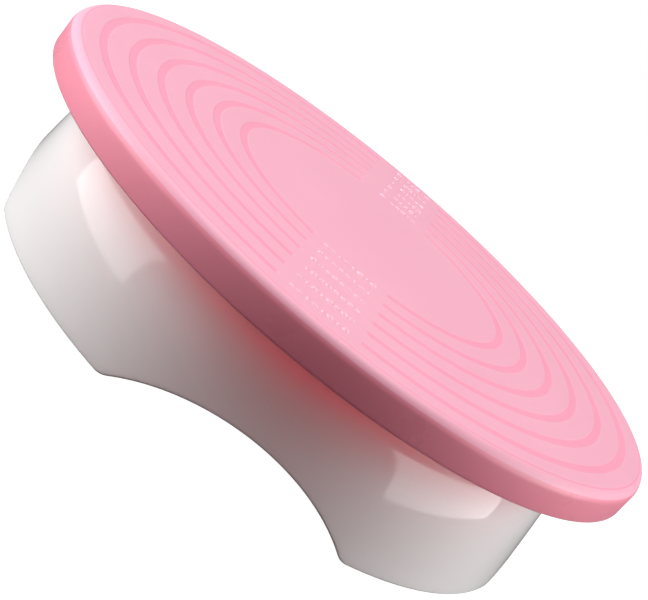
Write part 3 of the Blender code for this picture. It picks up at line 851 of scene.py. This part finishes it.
# %% [markdown]
# The stand has two mouldings and two helpers: a pink plate, a glossy white base, a natural nylon cage
# and bush, and black rubber feet. The plate's pinks share one recipe; the band floors and the skirt are
# painted deeper as painted shade, the marks lighter as a painted highlight, and all are kept a little
# duller in reflection, as soft satin plastic is.

# %% Pinks, white, nylon and rubber
pink = plastic("pink_plastic", (0.90, 0.44, 0.56), (0.94, 0.47, 0.59), 0.30, 0.40, 22.0, 2600.0, 0.000008)
# Band pink: darker than the top, painted shade for the shallow recess of each band.
band = plastic("pink_band_painted_shade", (0.88, 0.34, 0.47), (0.92, 0.37, 0.50), 0.42, 0.55, 22.0, 3200.0, 0.000012)
# Skirt pink: deeper and redder than the top, painted shade for the skirt's dim sideways faces.
edge = plastic("pink_skirt_painted_shade", (0.92, 0.30, 0.40), (0.94, 0.33, 0.43), 0.24, 0.34, 22.0, 2600.0, 0.000008)
# Mark pink: lighter than the top, a painted highlight on the raised marks.
mark = plastic("pink_mark_painted_highlight", (0.95, 0.58, 0.70), (0.97, 0.63, 0.75), 0.24, 0.34, 22.0, 2600.0, 0.000008)
white = plastic("white_gloss", (0.82, 0.82, 0.82), (0.86, 0.86, 0.86), 0.04, 0.09, 14.0, 200.0, 0.000002)
for satin in (pink, band, edge, mark):
    satin.node_tree.nodes["Principled BSDF"].inputs["Specular IOR Level"].default_value = 0.3
nylon = plastic("nylon", (0.72, 0.70, 0.62), (0.80, 0.78, 0.70), 0.40, 0.55, 60.0, 1500.0, 0.00002)
rubber = plastic("rubber", (0.02, 0.02, 0.02), (0.035, 0.035, 0.035), 0.75, 0.9, 80.0, 1800.0, 0.00004)

print("plastics:", [m.name for m in (pink, band, edge, mark, white, nylon, rubber)])

# %% [markdown]
# The hidden hardware is steel: zinc-plated raceways, pin, washer and screws, and polished balls. Both
# are the same recipe with the metal turned on: a patchy polish and scratches too fine to count.

# %% Steel


def steel(name, colour, rough_low, rough_high, grain_scale):
    """Metal with a patchy polish and fine scratches."""
    dark = [0.9 * c for c in colour]
    made = plastic(name, dark, colour, rough_low, rough_high, 50.0, grain_scale, 0.000004)
    made.node_tree.nodes["Principled BSDF"].inputs["Metallic"].default_value = 1.0
    return made


zinc = steel("zinc_steel", (0.66, 0.67, 0.69), 0.24, 0.36, 2200.0)
polished = steel("bearing_steel", (0.78, 0.79, 0.81), 0.06, 0.14, 900.0)
print("metals:", [m.name for m in (zinc, polished)])

# %% [markdown]
# ## Dressing the pieces
# Each piece gets one finish. On the plate, the band floors are rougher and painted a deeper pink as
# painted shade for their shallow recess, the skirt is painted deeper still as painted shade for its dim
# sideways faces, and the raised marks are painted lighter as a painted highlight.

# %% Dress every piece

def dress(made, finish):
    """Give a piece its finish."""
    made.data.materials.clear()
    made.data.materials.append(finish)


dress(plate, pink)
plate.data.materials.append(band)
plate.data.materials.append(edge)
for face in plate.data.polygons:
    centre = face.center
    # Mask of the sunk band floors, which take the band pink as painted shade.
    band_floor_painted_shade = PLATE_TOP - BAND_DEPTH * 1.05 < centre.z < PLATE_TOP - BAND_DEPTH * 0.4
    if face.normal.z > 0.9 and band_floor_painted_shade:
        face.material_index = 1
    # Faces down the skirt take the skirt pink, painted shade for their dim sideways faces.
    elif math.hypot(centre.x, centre.y) > PLATE_R - SKIRT_T - 1 * MM and face.normal.z < 0.5:
        face.material_index = 2
# The raised marks take the lighter pink, a painted highlight.
dress(marks, mark)
# The hidden plate ribs share the skirt's painted-shade pink.
dress(plate_ribs, edge)
for made in (base, base_ribs, base_bosses, flanges):
    dress(made, white)
for made in pads:
    dress(made, rubber)
for made in balls:
    dress(made, polished)
for made in (cage, bush):
    dress(made, nylon)
for made in (lower_race, upper_race, spindle, washer, retaining_screw, *screws):
    dress(made, zinc)
print("dressed:", len(bpy.data.materials), "finishes in use")

# %% [markdown]
# ## Studio
# The floor is plain pale paper. To the eye it's as bright as a lit backdrop, but it sends only a little
# light back up and doesn't show in the gloss, so the stand's underside stays darker than its top.

# %% Floor
floor_mesh = bpy.data.meshes.new("floor")
FLOOR = 12.0
corners = [(-FLOOR, -FLOOR, 0), (FLOOR, -FLOOR, 0), (FLOOR, FLOOR, 0), (-FLOOR, FLOOR, 0)]
floor_mesh.from_pydata(corners, [], [(0, 1, 2, 3)])
floor = bpy.data.objects.new("floor", floor_mesh)
bpy.context.scene.collection.objects.link(floor)
paper = bpy.data.materials.new("floor_paper")
paper.use_nodes = True
nodes = paper.node_tree.nodes
links = paper.node_tree.links
paper_shader = nodes["Principled BSDF"]
paper_shader.inputs["Base Color"].default_value = (0.06, 0.06, 0.06, 1.0)
paper_shader.inputs["Roughness"].default_value = 0.9
seen = nodes.new("ShaderNodeBsdfDiffuse")
seen.inputs["Color"].default_value = (0.2, 0.2, 0.2, 1.0)
glow = nodes.new("ShaderNodeEmission")
glow.inputs["Strength"].default_value = 1.0
bright = nodes.new("ShaderNodeAddShader")
path = nodes.new("ShaderNodeLightPath")
mix = nodes.new("ShaderNodeMixShader")
links.new(seen.outputs["BSDF"], bright.inputs[0])
links.new(glow.outputs["Emission"], bright.inputs[1])
links.new(path.outputs["Is Camera Ray"], mix.inputs["Fac"])
links.new(paper_shader.outputs["BSDF"], mix.inputs[1])
links.new(bright.outputs["Shader"], mix.inputs[2])
links.new(mix.outputs["Shader"], nodes["Material Output"].inputs["Surface"])
floor_mesh.materials.append(paper)
floor.visible_glossy = False
print("floor:", 2 * FLOOR, "m square")

# %% [markdown]
# The room round the stand is dim, with a rose cast in front that the gloss picks up. The eye itself
# sees plain white behind the stand.

# %% Sky
ROOM_GREY = 0.05
ROSE_STRENGTH = 0.20
world = bpy.data.worlds.new("studio")
bpy.context.scene.world = world
world.use_nodes = True
nodes = world.node_tree.nodes
links = world.node_tree.links
where = nodes.new("ShaderNodeTexCoord")
split = nodes.new("ShaderNodeSeparateXYZ")
ahead = nodes.new("ShaderNodeMapRange")
ahead.interpolation_type = "SMOOTHSTEP"
ahead.inputs["From Min"].default_value = -1.0
ahead.inputs["From Max"].default_value = -0.5
ahead.inputs["To Min"].default_value = ROSE_STRENGTH
ahead.inputs["To Max"].default_value = 0.0
dim = nodes["Background"]
dim.inputs["Color"].default_value = (1.0, 1.0, 1.0, 1.0)
dim.inputs["Strength"].default_value = ROOM_GREY
rose = nodes.new("ShaderNodeBackground")
rose.inputs["Color"].default_value = (1.0, 0.06, 0.12, 1.0)
room = nodes.new("ShaderNodeAddShader")
sky = nodes.new("ShaderNodeBackground")
sky.inputs["Color"].default_value = (1.0, 1.0, 1.0, 1.0)
path = nodes.new("ShaderNodeLightPath")
mix = nodes.new("ShaderNodeMixShader")
links.new(where.outputs["Generated"], split.inputs["Vector"])
links.new(split.outputs["Y"], ahead.inputs["Value"])
links.new(ahead.outputs["Result"], rose.inputs["Strength"])
links.new(dim.outputs["Background"], room.inputs[0])
links.new(rose.outputs["Background"], room.inputs[1])
links.new(path.outputs["Is Camera Ray"], mix.inputs["Fac"])
links.new(room.outputs["Shader"], mix.inputs[1])
links.new(sky.outputs["Background"], mix.inputs[2])
links.new(mix.outputs["Shader"], nodes["World Output"].inputs["Surface"])
print("sky:", ROOM_GREY, "white, and", ROSE_STRENGTH, "rose in front")

# %% [markdown]
# Two windows stand left and right and only make the base's reflections. Overhead, a wide panel fills
# the plate, and a soft one in front opens it up. Two fills beside the windows, unseen in the gloss, light
# its flanks and leave the front dark. Pink plastic lets red light through, so a row of small red lamps
# under the plate's front edge gives the wall below it that glow.

# %% Lamps
AIM_Z = 30.0 * MM
GLOW_LAMPS = 9
GLOW_STEP = 14.0
GLOW_MIDDLE = -4.0
GLOW_POWER = 0.0013
GLOW_COLOUR = (1.0, 0.04, 0.07)


def softbox(name, azimuth, elevation, distance, lean, width, height, power):
    """A panel lamp that faces the stand; azimuth 0 is in front, 90 on the right; lean tips its top in."""
    lamp = bpy.data.lights.new(name, "AREA")
    lamp.shape = "RECTANGLE"
    lamp.size = width
    lamp.size_y = height
    lamp.energy = power
    holder = bpy.data.objects.new(name, lamp)
    bpy.context.scene.collection.objects.link(holder)
    a = math.radians(azimuth)
    e = math.radians(elevation)
    away = Vector((math.sin(a) * math.cos(e), -math.cos(a) * math.cos(e), math.sin(e)))
    side = Vector((math.cos(a), math.sin(a), 0))
    up = away.cross(side)
    tip = math.radians(lean)
    facing = away * math.cos(tip) + up * math.sin(tip)
    upright = up * math.cos(tip) - away * math.sin(tip)
    turn = Matrix((side, upright, facing)).transposed().to_4x4()
    holder.matrix_world = Matrix.Translation(away * distance + Vector((0, 0, AIM_Z))) @ turn
    return holder


for name, azimuth, power in (("left_window", -81.0, 4.6), ("right_window", 75.5, 4.6)):
    softbox(name, azimuth, 8.0, 1.0, 14.0, 0.93, 0.63, power).visible_diffuse = False
softbox("front_top", 0.0, 45.0, 1.6, 0.0, 2.0, 1.0, 1.0)
for name, azimuth, power in (("left_fill", -93.0, 23.5), ("right_fill", 90.0, 18.0)):
    softbox(name, azimuth, 16.0, 1.2, 0.0, 1.0, 1.0, power).visible_glossy = False
softbox("overhead", 180.0, 84.0, 1.6, 0.0, 1.6, 1.6, 17.0)
for index in range(GLOW_LAMPS):
    turn = math.radians(GLOW_STEP * (index - GLOW_LAMPS // 2) + GLOW_MIDDLE)
    strip_lamp = bpy.data.lights.new(f"light_through_plate_{index + 1}", "AREA")
    strip_lamp.shape = "RECTANGLE"
    strip_lamp.size = 30 * MM
    strip_lamp.size_y = 8 * MM
    strip_lamp.color = GLOW_COLOUR
    strip_lamp.energy = GLOW_POWER
    strip = bpy.data.objects.new(strip_lamp.name, strip_lamp)
    bpy.context.scene.collection.objects.link(strip)
    out = BASE_R + 4 * MM
    strip.location = (out * math.sin(turn), -out * math.cos(turn), UNDER - 3.5 * MM)
    strip.rotation_euler = (math.radians(-25), 0, turn)
print("lamps:", len(bpy.data.lights))

# %% [markdown]
# ## Camera
# A long lens looks down a little at the front, and the whole camera is rolled, so the stand leans
# across the picture.

# %% Camera
CAMERA_AZIMUTH = -6.1
CAMERA_ELEVATION = 12.9
CAMERA_DISTANCE = 0.5439
AIM_SIDE = 0.23
AIM_UP = -3.48
CAMERA_ROLL = 40.47
a = math.radians(CAMERA_AZIMUTH)
e = math.radians(CAMERA_ELEVATION)
away = Vector((math.sin(a) * math.cos(e), -math.cos(a) * math.cos(e), math.sin(e)))
forward = -away
right = forward.cross(Vector((0, 0, 1))).normalized()
up = right.cross(forward)
side = math.radians(AIM_SIDE)
tilt = math.radians(AIM_UP)
roll = math.radians(CAMERA_ROLL)
turned_forward = forward * math.cos(side) + right * math.sin(side)
turned_right = right * math.cos(side) - forward * math.sin(side)
tilted_forward = turned_forward * math.cos(tilt) + up * math.sin(tilt)
tilted_up = up * math.cos(tilt) - turned_forward * math.sin(tilt)
camera_x = turned_right * math.cos(roll) + tilted_up * math.sin(roll)
camera_y = tilted_up * math.cos(roll) - turned_right * math.sin(roll)
lens = bpy.data.cameras.new("camera")
lens.lens = 77.14
lens.sensor_width = 36.0
lens.clip_start = 0.01
camera = bpy.data.objects.new("camera", lens)
bpy.context.scene.collection.objects.link(camera)
place = away * CAMERA_DISTANCE + Vector((0, 0, PLATE_TOP))
turn = Matrix((camera_x, camera_y, -tilted_forward)).transposed().to_4x4()
camera.matrix_world = Matrix.Translation(place) @ turn
bpy.context.scene.camera = camera
bpy.context.scene.view_settings.view_transform = "Standard"
print("camera at", [round(v, 4) for v in place])
